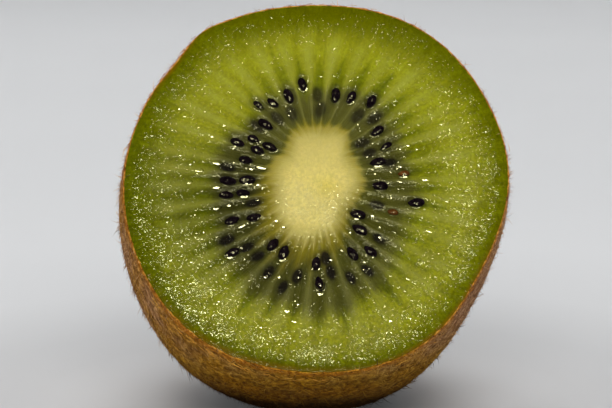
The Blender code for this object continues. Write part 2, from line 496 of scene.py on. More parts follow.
class Paint:
    """A material built from nodes. In any input of a node, a string stands for the mask with that name."""

    def __init__(self, name):
        self.material = bpy.data.materials.new(name)
        self.material.use_nodes = True
        self.tree = self.material.node_tree
        self.place = self.node("ShaderNodeTexCoord")["Object"]

    def finish(self, **values):
        """Feeds the shader's inputs, with _ for each space in their names, and returns the material."""
        shader = self.tree.nodes["Principled BSDF"]
        for key, value in values.items():
            self.feed(value, shader.inputs[key.replace("_", " ")])
        return self.material

    def feed(self, value, socket):
        if isinstance(value, str):
            value = self.attribute(value)
        if isinstance(value, bpy.types.NodeSocket):
            self.tree.links.new(value, socket)
        elif value is not None:
            socket.default_value = (*value, 1.0) if socket.type == "RGBA" else value

    def node(self, kind, inputs=None, **settings):
        made = self.tree.nodes.new(kind)
        for key, value in settings.items():
            setattr(made, key, value)
        for key, value in (inputs or {}).items():
            self.feed(value, made.inputs[key])
        return made.outputs

    def attribute(self, name, output="Fac"):
        return self.node("ShaderNodeAttribute", attribute_name=name)[output]

    def along(self, axis):
        """The place's x, y or z, for axis 0, 1 or 2."""
        return self.node("ShaderNodeSeparateXYZ", {0: self.place})[axis]

    def math(self, operation, *values, clamp=False):
        return self.node("ShaderNodeMath", dict(enumerate(values)), operation=operation, use_clamp=clamp)[0]

    def times(self, first, second):
        return self.math("MULTIPLY", first, second)

    def line(self, value, slope, start):
        return self.math("MULTIPLY_ADD", value, slope, start)

    def bell(self, value):
        """exp(-value squared): 1 at 0, falling away on both sides."""
        return self.math("EXPONENT", self.times(self.times(value, value), -1.0))

    def noise(self, scale, detail=2.0, rough=0.5, place=None, distortion=0.0):
        inputs = {"Vector": place or self.place, "Scale": scale, "Detail": detail}
        inputs.update(Roughness=rough, Distortion=distortion)
        return self.node("ShaderNodeTexNoise", inputs)["Fac"]

    def cells(self, scale):
        return self.node("ShaderNodeTexVoronoi", {"Vector": self.place, "Scale": scale})["Distance"]

    def stretched(self, place, scale):
        return self.node("ShaderNodeMapping", {"Vector": place, "Scale": scale})["Vector"]

    def ramp(self, value, *stops):
        made = self.tree.nodes.new("ShaderNodeValToRGB")
        self.feed(value, made.inputs["Fac"])
        elements = made.color_ramp.elements
        while len(elements) < len(stops):
            elements.new(0.5)
        for element, (position, colour) in zip(elements, stops):
            element.position = position
            element.color = (*colour, 1.0) if isinstance(colour, tuple) else (colour, colour, colour, 1.0)
        return made.outputs["Color"]

    def mix(self, share, first, second, how="MIX"):
        made = self.tree.nodes.new("ShaderNodeMix")
        made.data_type = "RGBA"
        made.blend_type = how
        for number, value in ((0, share), (6, first), (7, second)):
            self.feed(value, made.inputs[number])
        return made.outputs[2]

    def layers(self, colour, *layers):
        """The colour under the layers, each of them (share, colour)."""
        for share, layer in layers:
            colour = self.mix(share, colour, layer)
        return colour

    def mottle(self, share, colour, texture, *stops):
        """The colour multiplied, for this share, by a ramp of the texture."""
        return self.mix(share, colour, self.ramp(texture, *stops), "MULTIPLY")

    def bump(self, height, distance, under=None):
        inputs = {"Height": height, "Distance": distance, "Strength": 1.0, "Normal": under}
        return self.node("ShaderNodeBump", inputs)["Normal"]


# ---------------------------------------------------------------- the flesh
FACE_CELLS = 300
SKIN_THICKNESS = 0.20 * MM
FACE_UNDER_SKIN = 0.9
BODY_UNDER_SKIN = 0.8
FACE_DEPTH = 0.35 * MM
DEEP_SEED_SHADE = 0.93
CUT_MASKS = ("core_gap", "fringe", "pulp", "wedge", "wall_gap", "wall_power", "out", "pale", "gold", "dim")


def face_height(cut, x, y):
    """How far the cut surface stands over the plane of the cut."""
    hollow = smooth(-0.2 * MM, 1.6 * MM, cut.core_edge) * (1 - smooth(12 * MM, 18.5 * MM, cut.radius))
    height = 0.30 * smooth(1.3 * MM, -1.5 * MM, cut.core_edge)
    height = height + 0.10 * np.clip(1 - (cut.radius / (7 * MM)) ** 2, 0, 1)
    height = height - 0.26 * hollow - 0.11 * cut.chamber + 0.04 * cut.wall - 0.07 * cut.wedge
    height = height + 0.05 * cut.streak * (0.35 + hollow) + 0.03 * cut.cloud
    height = height + 0.030 * waves(cut.flat * np.array((0.22, 1.0, 1.0)), 1.5, 21, 2)
    height = height + 0.022 * waves(cut.flat, 0.62, 22) * smooth(9 * MM, 17 * MM, cut.radius)
    height = height + 0.013 * waves(cut.flat, 0.5, 23) * (0.3 + hollow)
    for place in SEEDS:
        near = seed_distance(x, y, place, 0.12 * MM)
        if place[4] == SUNK:
            height = height + 0.05 * np.exp(-(near**2))
        else:
            height = height - 0.16 * np.exp(-((near / 0.95) ** 4))
            height = height + 0.02 * np.exp(-(((near - 1.25) / 0.22) ** 2))
    rounding = smooth(0.9 * MM, 0.0, cut.from_rim - SKIN_THICKNESS)
    return (height - 0.02 * rounding**2) * MM


def store_masks(mesh, x, y, over_seeds=False):
    """Keeps the masks of the cut on a mesh whose points lie at (x, y), whole seeds too if it's over them."""
    cut = Cut(x, y)
    shade = np.zeros_like(x)
    halo = np.zeros_like(x)
    for place in SEEDS:
        seed_x, seed_y, _, _, kind = place
        if kind == SUNK:
            near = seed_distance(x, y, place, -0.02 * MM)
            depth = DEEP_SEED_SHADE - 0.36 * bump_at(math.degrees(math.atan2(seed_y, seed_x)), 85, 45)
            shade = np.maximum(shade, depth * smooth(1.35, 0.72, near))
        elif over_seeds:
            shade = np.maximum(shade, smooth(1.15, 0.95, seed_distance(x, y, place)))
        near = seed_distance(x, y, place, 0.35 * MM)
        halo = np.maximum(halo, smooth(1.5, 0.6, near) * (0.5 if kind == UNRIPE else 1.0))
    masks = {
        "core_top": smooth(-1.0 * MM, 8 * MM, y),
        "core_spot": np.exp(-(((x - 1.4 * MM) ** 2 + (y + 1.2 * MM) ** 2) / (1.5 * MM) ** 2)),
        "core_rim": smooth(-2.7 * MM, 0.4 * MM, cut.core_edge),
        "top_rim": bump_at(cut.angle, 84, 46) * smooth(20 * MM, 24.5 * MM, cut.radius),
        "side": bump_at(cut.angle, 188, 42),
        "wet": 1 - bump_at(cut.angle, 85, 65),
        "seed_shade": shade,
        "halo": halo,
    }
    for name in CUT_MASKS:
        store(mesh, name, getattr(cut, name))
    for name, values in masks.items():
        store(mesh, name, values)
    store(mesh, "way", cut.way, "FLOAT_VECTOR")


def disc_from_square(square):
    """Share of the radius and angle for the points of a square grid that is drawn out into a disc."""
    a, b = square[:, 0], square[:, 1]
    safe_a, safe_b = np.where(a == 0, 1e-9, a), np.where(b == 0, 1e-9, b)
    wide = np.abs(a) > np.abs(b)
    signed = np.where(wide, a, b)
    turn = np.where(wide, math.pi / 4 * b / safe_a, math.pi / 2 - math.pi / 4 * a / safe_b)
    return np.maximum(np.abs(a), np.abs(b)), np.arctan2(signed * np.sin(turn), signed * np.cos(turn))


def make_flesh():
    deselect()
    bpy.ops.mesh.primitive_grid_add(x_subdivisions=FACE_CELLS, y_subdivisions=FACE_CELLS, size=2)
    face = named("flesh")
    share, angle = disc_from_square(mesh_points(face.data))
    radius = share * (rim_radius(angle) - SKIN_THICKNESS * FACE_UNDER_SKIN)
    x, y = radius * np.cos(angle), radius * np.sin(angle)
    set_points(face.data, from_face(np.stack([x, y, face_height(Cut(x, y), x, y)], 1)))
    store_masks(face.data, x, y)

    # The body behind the face follows the solid's dome, inside the skin.
    body = dome_copy("flesh_body")
    edit_all(body)
    bpy.ops.transform.shrink_fatten(value=-SKIN_THICKNESS * BODY_UNDER_SKIN)
    object_mode()
    extrude_border(face, -FACE_DEPTH * OUT)
    pick(face, body)
    bpy.ops.object.join()
    edit_select(face, edges=at_border)
    bpy.ops.mesh.bridge_edge_loops()
    object_mode()
    face_outwards(face)
    pick(face)
    bpy.ops.object.shade_smooth_by_angle(angle=math.radians(50))
    return face


def dome_copy(name):
    """A merged copy of the solid's skin, without the cut face and its rounded edge."""
    piece = add_piece(name, CAD.data.copy())
    piece.data.materials.clear()
    edit_all(piece)
    bpy.ops.mesh.remove_doubles(threshold=1e-6)
    object_mode()
    edit_select(piece, faces=lambda item: to_face([item.calc_center_median()])[0][2] > -RIM_ROUND)
    bpy.ops.mesh.delete(type="FACE")
    object_mode()
    return piece


def flesh_material(name="wet_flesh", film_ior=1.11, inner_light=0.55, ripple=0.00009):
    """The flesh under its film of juice. With other settings it is the juice that stands on the flesh."""
    paint = Paint(name)
    way = paint.attribute("way", "Vector")
    streaks = paint.noise(1.0, 3.0, 0.6, place=way)
    fine_streaks = paint.noise(2.7, 2.0, 0.55, place=paint.stretched(way, (1, 1, 0.6)))
    clouds = paint.noise(330, 3.0, 0.6)
    grains = paint.noise(2600, 2.0, 0.6)

    # From the ring outwards: fresh green, a paler band, then the dark green under the skin.
    colour = paint.ramp(
        paint.math("ADD", "out", paint.line(clouds, 0.07, -0.035)),
        (0.40, (0.20, 0.215, 0.003)),
        (0.58, (0.24, 0.252, 0.003)),
        (0.72, (0.33, 0.335, 0.009)),
        (0.83, (0.30, 0.305, 0.007)),
        (0.925, (0.178, 0.188, 0.0)),
        (0.985, (0.130, 0.140, 0.001)),
    )
    side = (paint.times("side", 0.85), (0.115, 0.132, 0.001))
    colour = paint.layers(colour, side, ("pale", (0.34, 0.34, 0.012)))
    colour = paint.mottle(0.75, colour, streaks, (0.30, 0.80), (0.50, 1.0), (0.72, 1.22))
    colour = paint.mottle(paint.line("wet", 0.65, 0.35), colour, grains, (0.35, 0.76), (0.65, 1.26))
    colour = paint.mottle(0.30, colour, fine_streaks, (0.3, 0.80), (0.7, 1.22))
    patches = paint.noise(800, 3.0, 0.6)
    colour = paint.mottle(paint.line("wet", 0.50, 0.45), colour, patches, (0.3, 0.82), (0.7, 1.18))

    # The walls, the fibres in the chambers, and the wedges.
    wall = paint.math("DIVIDE", "wall_gap", paint.ramp("out", (0.36, 0.13), (0.76, 0.88)))
    wall = paint.times(paint.bell(wall), "wall_power")
    threads = paint.noise(1.0, 1.0, 0.5, place=paint.stretched(way, (1.5, 1.5, 0.30)))
    threads = paint.bell(paint.math("DIVIDE", paint.math("SUBTRACT", threads, 0.5), 0.030))
    wedge = paint.times("wedge", paint.ramp(fine_streaks, (0.3, 0.65), (0.7, 1.0)))
    colour = paint.layers(
        colour,
        (paint.times("top_rim", 0.52), (0.100, 0.102, 0.0)),
        ("gold", (0.20, 0.115, 0.001)),
        (paint.times(wall, 0.66), (0.44, 0.44, 0.055)),
        (paint.times(wedge, 0.82), (0.10, 0.125, 0.004)),
    )
    dots = paint.noise(1500, 2.0, 0.6)
    colour = paint.mottle(paint.times(wedge, 0.9), colour, dots, (0.35, 0.72), (0.62, 1.22))

    # The pulp in the chambers, the golden fringe of the core, and the seeds' dark.
    pulp = paint.layers(
        paint.mix(fine_streaks, (0.045, 0.042, 0.005), (0.13, 0.125, 0.017)),
        (paint.line("wet", -0.40, 0.40), (0.135, 0.125, 0.030)),
        (paint.times("side", 0.75), paint.mix(fine_streaks, (0.020, 0.018, 0.004), (0.065, 0.058, 0.011))),
        (paint.times(threads, 0.22), (0.22, 0.215, 0.05)),
        (paint.times(wall, 0.56), (0.25, 0.245, 0.065)),
    )
    colour = paint.layers(
        colour,
        (paint.times("pulp", 0.92), pulp),
        ("fringe", paint.mix(fine_streaks, (0.150, 0.115, 0.005), (0.43, 0.36, 0.026))),
        (paint.times("halo", 0.45), (0.035, 0.034, 0.012)),
        ("seed_shade", (0.012, 0.009, 0.008)),
    )

    # The core, with a frayed edge.
    fibres = paint.ramp(paint.noise(1.6, 3.0, 0.6, place=way), (0.3, 0.0), (0.7, 1.0))
    core = paint.layers(
        paint.mix(fibres, (0.72, 0.60, 0.170), (0.83, 0.70, 0.222)),
        (paint.times("core_spot", 0.55), (0.74, 0.59, 0.075)),
        (paint.times("core_top", 0.55), (0.50, 0.42, 0.115)),
    )
    speckled = paint.ramp("core_top", (0.0, 1.0), (0.6, 0.4))
    core = paint.mottle(speckled, core, paint.noise(2300, 2.0, 0.6), (0.35, 0.90), (0.65, 1.09))
    core = paint.mix(paint.times("core_rim", 0.85), core, (0.43, 0.36, 0.085))
    ragged = paint.line(paint.math("SUBTRACT", fine_streaks, 0.5), 2.2, "core_gap")
    in_core = paint.ramp(paint.line(ragged, 0.2, 0.5), (0.26, 1.0), (0.46, 0.62), (0.68, 0.0))
    colour = paint.mottle(1.0, colour, "dim", (0.0, 1.0), (0.5, 0.5))

    ripples = paint.bump(paint.noise(900, 2.0, 0.5), 0.00005)
    return paint.finish(
        Base_Color=paint.mix(in_core, colour, core),
        Roughness=paint.ramp(clouds, (0.3, 0.30), (0.7, 0.45)),
        Normal=paint.bump(grains, 0.00010),
        Subsurface_Weight=inner_light,
        Subsurface_Radius=(1.0, 0.9, 0.35),
        Subsurface_Scale=0.0011,
        IOR=1.38,
        Specular_IOR_Level=0.0,
        Coat_Weight=1.0,
        Coat_Roughness=0.13,
        Coat_IOR=film_ior,
        Coat_Normal=paint.bump(paint.noise(3300, 1.0), ripple, under=ripples),
    )


# ---------------------------------------------------------------- the wet grains of the flesh
GRAIN_SIDES = 4
GRAIN_RINGS = 2
GRAINS_IN_A_PIECE = 8000
GRAIN_SLOPE = 28.0
GRAIN_SINK = 0.10
FACE_REACH = 28 * MM
DRAWS = 4000
OVER_FACE = 3 * MM


def dome_pattern(name, sides, rings, slope):
    """A low dome of radius 1 with its top along z, and a closed underside."""
    deselect()
    bpy.ops.mesh.primitive_cone_add(vertices=sides, radius1=1.0, radius2=0.0, depth=1.0)
    dome = named(name)
    for i in range(1, rings):
        cut_across(dome, i / rings - 0.5)
    points = mesh_points(dome.data)
    out = np.hypot(points[:, 0], points[:, 1])
    steep = math.radians(slope)
    curve = 1 / math.sin(steep)
    points[:, 2] = np.sqrt(curve**2 - np.minimum(out, 1.0) ** 2) - curve * math.cos(steep)
    set_points(dome.data, points)
    return dome


def scattered(rng, count, weight):
    """Points on the cut, more of them where weight(x, y) from 0 to 1 is high."""
    kept_x, kept_y = [], []
    while len(kept_x) < count:
        x = rng.uniform(-FACE_REACH, FACE_REACH, DRAWS)
        y = rng.uniform(-FACE_REACH, FACE_REACH, DRAWS)
        keep = rng.random(DRAWS) < weight(x, y)
        kept_x.extend(x[keep])
        kept_y.extend(y[keep])
    return np.array(kept_x[:count]), np.array(kept_y[:count])


# How thickly the grains lie: a row for each way out from the middle, in degrees, with the density at each
# of these radii in millimetres.
GRAIN_RADII = (5.5, 7, 9, 14.5, 19, 23)
GRAIN_DENSITY = (
    (0, (0.0, 0.04, 0.05, 0.03, 0.56, 0.56)),
    (50, (0.0, 0.05, 0.08, 0.06, 0.07, 0.17)),
    (90, (0.0, 0.02, 0.03, 0.03, 0.02, 0.15)),
    (130, (0.0, 0.06, 0.09, 0.04, 0.12, 0.20)),
    (180, (0.0, 0.05, 0.07, 0.04, 0.31, 0.38)),
    (230, (0.0, 0.11, 0.16, 0.15, 0.44, 0.92)),
    (270, (0.0, 0.03, 0.05, 0.11, 0.10, 0.76)),
    (310, (0.0, 0.03, 0.04, 0.14, 0.27, 0.52)),
)


def grain_weight(x, y):
    radius = np.hypot(x, y)
    angle = np.degrees(np.arctan2(y, x)) % 360.0
    from_rim = rim_radius(np.radians(angle)) - radius
    ways, densities = zip(*GRAIN_DENSITY)
    rings = np.array([np.interp(angle, ways, ring, period=360.0) for ring in zip(*densities)])
    place = np.interp(radius / MM, GRAIN_RADII, range(len(GRAIN_RADII)))
    inner = np.minimum(place.astype(int), len(GRAIN_RADII) - 2)
    each = np.arange(len(x))
    density = rings[inner, each] + (rings[inner + 1, each] - rings[inner, each]) * (place - inner)
    density = density * smooth(0.9 * MM, 1.8 * MM, from_rim)
    core = 0.85 * smooth(1.0 * MM, -4.5 * MM, y) * smooth(7.0 * MM, 5.4 * MM, radius)
    patches = waves(np.stack([x, y, 0 * x], 1), 1.7, 61, 2)
    return np.maximum(density, core) * np.clip(0.62 + 0.75 * patches, 0.08, 1.0)


def grain_size(x, y):
    """The typical size of the grains at (x, y), in millimetres."""
    radius = np.hypot(x, y) / MM
    angle = np.degrees(np.arctan2(y, x))
    size = np.interp(radius, (6, 8, 12, 17, 22), (0.062, 0.082, 0.082, 0.080, 0.075))
    size = size * (1 - swell(angle, ((270, 28, 0.20), (185, 30, 0.05))) * smooth(16, 21, radius))
    size = size * (1 - 0.22 * bump_at(angle, 322, 58) * smooth(14, 18, radius))
    size = size * (1 + 0.14 * bump_at(angle, 115, 45) * smooth(19, 22, radius))
    return size * (1 + 0.25 * bump_at(angle, 345, 50) * smooth(13, 11, radius) * smooth(6, 7, radius))


def surface_over(face, x, y):
    """Heights of the finished cut surface at (x, y), and the normals there, by a ray from in front."""
    heights, normals = [], []
    for point in from_face(np.stack([x, y, np.full_like(x, OVER_FACE)], 1)):
        hit, place, normal, _ = face.ray_cast(Vector(point), -OUT_AXIS)
        heights.append(place if hit else Vector(point))
        normals.append(normal if hit else OUT_AXIS)
    return np.array(heights), np.array(normals)


def grain_places(face, x, y, sizes, stretch, rng):
    """Matrices that lay domes on the surface, stretched along the rays."""
    ground, normals = surface_over(face, x, y)
    turn = ray_angle(x, y) + rng.normal(0, 0.5, len(x))
    along = unit(flattened(in_plane(turn), normals))
    return place_matrices(
        along * (sizes * stretch)[:, None],
        np.cross(normals, along) * sizes[:, None],
        normals * (sizes * rng.uniform(0.75, 1.15, len(x)))[:, None],
        ground - normals * (sizes * GRAIN_SINK)[:, None],
    )


def make_grains(face):
    """Thousands of tiny wet domes, in three pieces."""
    rng = np.random.default_rng(71)
    pattern = dome_pattern("grain_pattern", GRAIN_SIDES, GRAIN_RINGS, GRAIN_SLOPE)
    pieces = []
    for name in ("wet_grains_a", "wet_grains_b", "wet_grains_c"):
        x, y = scattered(rng, GRAINS_IN_A_PIECE, grain_weight)
        sizes = MM * np.clip(grain_size(x, y) * rng.lognormal(0, 0.42, len(x)), 0.040, 0.30)
        stretch = rng.uniform(1.0, 1.9 + 0.9 * smooth(-5 * MM, 12 * MM, x))
        places = grain_places(face, x, y, sizes, stretch, rng)
        grains = many(name, pattern, places, rng.random(len(x)))
        store_masks(grains.data, *(np.repeat(side, len(pattern.data.vertices)) for side in (x, y)))
        pieces.append(grains)
    remove(pattern)
    return pieces


# ---------------------------------------------------------------- the skin
SKIN_RISE = 0.30 * MM


def make_skin():
    skin = dome_copy("skin")
    edit_all(skin)
    bpy.ops.mesh.tris_convert_to_quads()
    object_mode()
    apply_modifier(skin, "SUBSURF", levels=2, render_levels=2)
    extrude_border(skin, SKIN_RISE * OUT)
    points = mesh_points(skin.data)
    depth = -to_face(points)[:, 2]
    normals = np.zeros(len(points) * 3)
    skin.data.vertices.foreach_get("normal", normals)
    lift = 0.07 * MM * waves(points, 4.5, 31, 2) + 0.045 * MM * waves(points, 1.1, 32, 2)
    lift = lift * smooth(0.2 * MM, 2.5 * MM, points[:, 2]) * smooth(0.0, 1.2 * MM, depth)
    points = points + normals.reshape(-1, 3) * lift[:, None]
    ragged = 0.16 * MM * waves(points, 1.1, 33, 2) * smooth(-0.3 * MM, -0.05 * MM, -depth)
    points = points + OUT * ragged[:, None]
    points[:, 2] = np.maximum(points[:, 2], 0.0)
    set_points(skin.data, points)
    apply_modifier(skin, "SOLIDIFY", thickness=SKIN_THICKNESS, offset=-1.0)

    points = mesh_points(skin.data)
    local = to_face(points)
    around = np.arctan2(local[:, 1], local[:, 0])
    golden_depth = (0.95 + 0.50 * bump_at(np.degrees(around), 238, 32)) * MM
    ragged = 0.35 * MM * waves(points, 1.3, 34, 2)
    store(skin.data, "edge", smooth(-golden_depth, 0.50 * MM - golden_depth, local[:, 2] + ragged))
    way = np.stack([40 * np.cos(around), 40 * np.sin(around), -local[:, 2] / (1.4 * MM)], 1)
    store(skin.data, "way", way, "FLOAT_VECTOR")
    shade_smooth(skin)
    return skin


def painted_shade_by_height(paint, colour):
    """The colour with painted shade that darkens it near the resting spot, and painted light that makes it
    paler higher up.
    """
    return paint.mottle(
        1.0,
        colour,
        paint.math("DIVIDE", paint.along(2), 0.02),
        (0.20, (0.15, 0.10, 0.010)),
        (0.36, (0.81, 0.705, 0.17)),
        (0.43, (0.86, 0.77, 0.14)),
        (0.50, (1.16, 1.12, 0.38)),
        (0.8, (1.35, 1.31, 1.40)),
    )


def rosiness(paint):
    """Where the brown is greyer and rosier: on the right, behind, and in soft patches."""
    right = paint.ramp(paint.line(paint.along(0), 20.0, 0.5), (0.45, 0.0), (0.95, 0.75))
    behind = paint.ramp(paint.line(paint.along(1), 20.0, 0.5), (0.62, 0.0), (0.92, 0.60))
    patches = paint.ramp(paint.noise(190, 2.0), (0.40, 0.0), (0.64, 0.75))
    return paint.math("ADD", paint.math("ADD", right, behind, clamp=True), patches, clamp=True)


def brown(paint, value, positions, golden, rosy):
    """A ramp of golden browns, and one of rosy browns where the skin is rosier."""
    ramps = [paint.ramp(value, *zip(positions, colours)) for colours in (golden, rosy)]
    return paint.mix(rosiness(paint), *ramps)


def skin_material():
    paint = Paint("felted_skin")
    way = paint.attribute("way", "Vector")
    felt = paint.noise(1200, 3.0, 0.65, distortion=0.6)
    strands = paint.noise(1.3, 4.0, 0.7, place=way, distortion=1.2)
    colour = brown(
        paint,
        felt,
        (0.30, 0.50, 0.72),
        ((0.09, 0.034, 0.002), (0.30, 0.130, 0.012), (0.66, 0.36, 0.06)),
        ((0.08, 0.030, 0.012), (0.27, 0.135, 0.055), (0.54, 0.33, 0.17)),
    )
    colour = paint.mottle(0.4, colour, strands, (0.3, 0.6), (0.7, 1.3))
    colour = paint.mottle(0.6, colour, paint.noise(260, 4.0, 0.6), (0.3, 0.7), (0.7, 1.25))
    edge = paint.ramp(
        paint.noise(1900, 3.0, 0.65),
        (0.35, (0.10, 0.026, 0.001)),
        (0.5, (0.38, 0.145, 0.009)),
        (0.66, (0.66, 0.34, 0.05)),
    )
    # Painted shade near the resting spot and painted light higher up, set by height over the floor.
    colour = painted_shade_by_height(paint, paint.mix(paint.times("edge", 0.9), colour, edge))
    relief = paint.bump(felt, 0.00030, under=paint.bump(strands, 0.00018))
    return paint.finish(Base_Color=colour, Roughness=0.85, Specular_IOR_Level=0.05, Normal=relief)


# ---------------------------------------------------------------- seeds
# How high the middle of a seed of each kind lies over SEED_FLOOR.
SEED_RISE = {WHOLE: 0.02 * MM, HALF_SUNK: -0.26 * MM, UNRIPE: -0.10 * MM}
SEED_FLOOR = -0.42 * MM


def seed_pattern():
    """One seed, lying along x with its point towards -x, its flat sides up and down."""
    deselect()
    bpy.ops.mesh.primitive_uv_sphere_add(segments=20, ring_count=12, radius=1.0)
    seed = named("seed_pattern")
    z, y, x = mesh_points(seed.data).T
    taper = 1 - 0.30 * np.clip(-x, 0, 1) ** 1.5 + 0.05 * x
    points = np.stack([x * SEED_LENGTH, y * taper * SEED_WIDTH, z * taper * SEED_THICKNESS], 1) / 2
    points[:, 1] += 0.04 * SEED_WIDTH * np.sin(x * 2)
    set_points(seed.data, points)
    face_outwards(seed)
    return seed


def make_seeds():
    pattern = seed_pattern()
    rng = np.random.default_rng(8)
    places, tones = [], []
    for x, y, turn, size, kind in SEEDS:
        if kind == SUNK:
            continue
        turned = Matrix.Rotation(turn, 4, "Z") @ Matrix.Rotation(rng.normal(0, 0.12), 4, "Y")
        turned = turned @ Matrix.Rotation(rng.normal(0, 0.28), 4, "X")
        local = Matrix.Translation((x, y, SEED_RISE[kind] + SEED_FLOOR)) @ turned
        places.append(FACE_MATRIX @ local @ Matrix.Scale(size, 4))
        tones.append(1.0 if kind == UNRIPE else 0.0)
    seeds = many("seeds", pattern, places, tones)
    remove(pattern)
    return seeds


def seed_material():
    paint = Paint("wet_seed")
    spots = paint.noise(2200, 2.0, 0.6)
    dark = paint.ramp(spots, (0.35, (0.004, 0.002, 0.003)), (0.7, (0.012, 0.007, 0.009)))
    unripe = paint.ramp(spots, (0.35, (0.07, 0.022, 0.004)), (0.7, (0.16, 0.055, 0.010)))
    return paint.finish(
        Base_Color=paint.mix("tone", dark, unripe),
        Roughness=0.35,
        Specular_IOR_Level=0.0,
        Normal=paint.bump(paint.cells(5200), 0.00004),
        Coat_Weight=1.0,
        Coat_Roughness=0.06,
        Coat_IOR=1.20,
        Coat_Normal=paint.bump(paint.noise(950, 2.0, 0.6), 0.00045),
    )


# ---------------------------------------------------------------- juice
# Where juice stands in low beads and catches the light: (angle, radius, half width, stretch, turn), in
# degrees and millimetres. A turn of 0 lies along the ray.
BEADS = (
    (0, 14.8, 0.50, 2.2, 0), (-1, 11.3, 0.45, 1.2, 0), (10, 11.7, 0.45, 1.3, 0),
    (16.5, 12.6, 0.40, 1.2, 20), (22, 13.7, 0.40, 1.3, 0), (22, 12.5, 0.30, 1.2, 0),
    (8, 8.1, 0.35, 1.4, 0), (9, 6.9, 0.32, 1.2, 60), (4, 6.7, 0.30, 1.0, 0), (35, 11.0, 0.35, 1.3, 0),
    (29.5, 16.5, 0.35, 1.4, 0), (45, 16.0, 0.35, 1.8, 0), (38, 18.1, 0.30, 1.2, 0),
    (37, 22.0, 0.30, 1.2, 0), (26, 21.3, 0.32, 1.2, 40), (19, 20.0, 0.32, 1.3, 0), (50, 9.8, 0.32, 1.2, 0),
    (108.5, 14.2, 0.36, 1.2, 0), (121, 9.3, 0.38, 1.4, 0), (151, 20.0, 0.38, 1.3, 0),
    (144, 22.7, 0.32, 1.2, 0), (145, 18.8, 0.36, 1.5, 0), (154, 15.4, 0.42, 1.5, 0),
    (145, 14.7, 0.34, 1.2, 30), (168, 13.5, 0.60, 1.8, 0), (164, 7.6, 0.50, 2.2, 0),
    (167, 8.8, 0.42, 1.4, 0), (171, 17.0, 0.40, 1.3, 0), (180.4, 17.0, 0.45, 1.4, 0),
    (174, 15.8, 0.42, 2.0, 0), (183, 13.4, 0.60, 1.6, 0), (182.5, 7.8, 0.40, 1.4, 0),
    (186, 7.2, 0.36, 1.2, 50), (191, 6.5, 0.40, 1.3, 20), (193, 7.1, 0.36, 1.2, 0),
    (198, 8.3, 0.42, 1.5, 0), (195.5, 13.9, 0.55, 1.5, 0), (195.5, 12.2, 0.45, 1.3, 0),
    (212, 11.7, 0.50, 2.4, 0), (214, 20.5, 0.38, 1.4, 0), (206, 18.1, 0.38, 1.3, 0),
    (227, 18.2, 0.40, 1.2, 0), (226, 7.9, 0.38, 1.3, 0), (270, 16.2, 0.55, 1.7, 90),
    (268.5, 12.8, 0.38, 1.2, 0), (256, 19.1, 0.46, 1.3, 60), (259.5, 20.3, 0.40, 1.4, 70),
    (260, 17.8, 0.38, 1.2, 0), (258, 14.0, 0.36, 1.2, 0), (261.5, 14.0, 0.32, 1.1, 0),
    (242, 15.3, 0.38, 1.3, 0), (248, 14.7, 0.36, 1.2, 0), (248.5, 22.2, 0.40, 1.5, 70),
    (277.5, 11.4, 0.36, 1.2, 0), (287, 10.3, 0.36, 1.3, 0), (235, 8.1, 0.34, 1.3, 90),
    (333, 16.7, 0.45, 2.2, 0), (309, 18.3, 0.38, 1.3, 0), (315, 11.5, 0.38, 1.3, 0),
    (325, 8.9, 0.38, 1.3, 0), (340, 6.8, 0.45, 1.7, 90), (317, 7.6, 0.36, 1.2, 0),
    (297, 13.0, 0.38, 1.2, 0), (300, 8.5, 0.32, 1.1, 0), (228.5, 11.0, 0.38, 1.3, 0),
    (294, 22.0, 0.38, 1.3, 60),
)
BEAD_SIDES = 16
BEAD_RINGS = 4
BEAD_SLOPE = math.radians(26.0)
# The slope on a bead that mirrors the light into the camera. BEADS tells where the glints are, and the
# middles of the beads lie a little higher.
GLINT_SLOPE = math.radians(16.5)
BEAD_SINK = 0.04 * MM
SMALL_BEAD_SINK = 0.03 * MM


def bead_place(x, y, sink, size, turn, stretch, pieces):
    """A matrix that lays a bead on the uppermost of the pieces at (x, y)."""
    spot = Vector(from_face([(x, y, OVER_FACE)])[0])
    hits = [piece.ray_cast(spot, -OUT_AXIS) for piece in pieces]
    ground = max(to_face([hit[1]])[0][2] for hit in hits if hit[0])
    local = Matrix.Translation((x, y, ground - sink)) @ Matrix.Rotation(turn, 4, "Z")
    return FACE_MATRIX @ local @ Matrix.Diagonal((size * stretch, size, size, 1))


def make_beads(*ground):
    pattern = dome_pattern("bead_pattern", BEAD_SIDES, BEAD_RINGS, math.degrees(BEAD_SLOPE))
    places = []
    for angle, radius, half, stretch, turn in BEADS:
        size = half * MM * (0.86 + 0.14 * bump_at(angle, 260, 40))
        way = math.radians(angle)
        x = radius * MM * math.cos(way)
        y = radius * MM * math.sin(way) + size * math.sin(GLINT_SLOPE) / math.sin(BEAD_SLOPE)
        places.append(bead_place(x, y, BEAD_SINK, size, way + math.radians(turn), stretch, ground))
    # A few small ones beside the seeds.
    rng = np.random.default_rng(29)
    for seed_x, seed_y, turn, _, _ in SEEDS:
        edge = 0.5 * MM + 0.35 * MM * abs(math.sin(turn))
        for _ in range(rng.integers(0, 2)):
            x = seed_x + rng.uniform(-0.7, 0.7) * MM
            y = seed_y + rng.uniform(-1.1, 0.35) * edge
            size, angle, stretch = MM * rng.uniform(0.08, 0.24), rng.uniform(0, 3), rng.uniform(1.0, 2.0)
            places.append(bead_place(x, y, SMALL_BEAD_SINK, size, angle, stretch, ground))
    beads = many("juice_beads", pattern, places, np.linspace(0, 1, len(places)))
    x, y, _ = to_face(mesh_points(beads.data)).T
    store_masks(beads.data, x, y, over_seeds=True)
    remove(pattern)
    return beads


RING_SIDES = 30
RING_REACH = 0.26 * MM
RING_DEPTH = 0.25 * MM
# Across the ring of juice at a seed's edge: (distance out from the seed, height over the flesh).
RING_PROFILE = ((0.26, -0.03), (0.17, 0.0), (0.10, 0.022), (0.03, 0.058), (-0.09, 0.15), (-0.09, -0.20))


